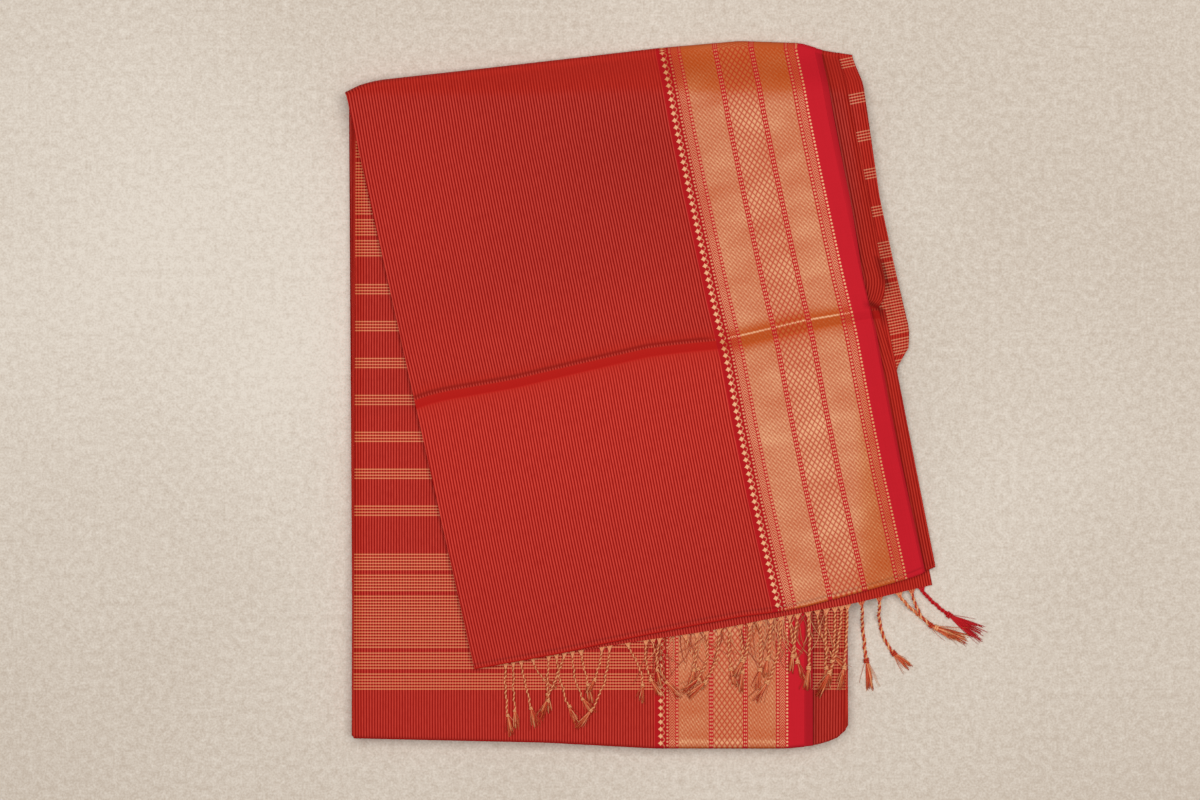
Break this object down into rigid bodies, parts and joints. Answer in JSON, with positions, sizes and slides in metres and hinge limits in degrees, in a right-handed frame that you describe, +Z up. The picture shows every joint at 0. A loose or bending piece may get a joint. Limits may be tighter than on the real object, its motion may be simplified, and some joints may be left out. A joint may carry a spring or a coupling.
{
  "type": "folded silk sari",
  "caption": "Long silk sari quartered and zigzag-folded into a flat stack, its last span turned over as a slanted flap, with a knotted fringe at the cloth's end.",
  "frame": {"origin": "centre of the stack's flat underside", "axes": "+Z up, +Y along the stack towards the edge where the cloth turns over, +X towards the side of the gold border"},
  "size_m": [0.3755, 0.4152, 0.0232],
  "materials": {
    "sari_silk": "red silk with fine warp stripes, a gold border and gold cross bands",
    "fringe_thread": "twisted red and gold thread ends"
  },
  "bodies": {
    "root": {"sari": "sari_silk", "fringe": "fringe_thread"}
  },
  "joints": []
}
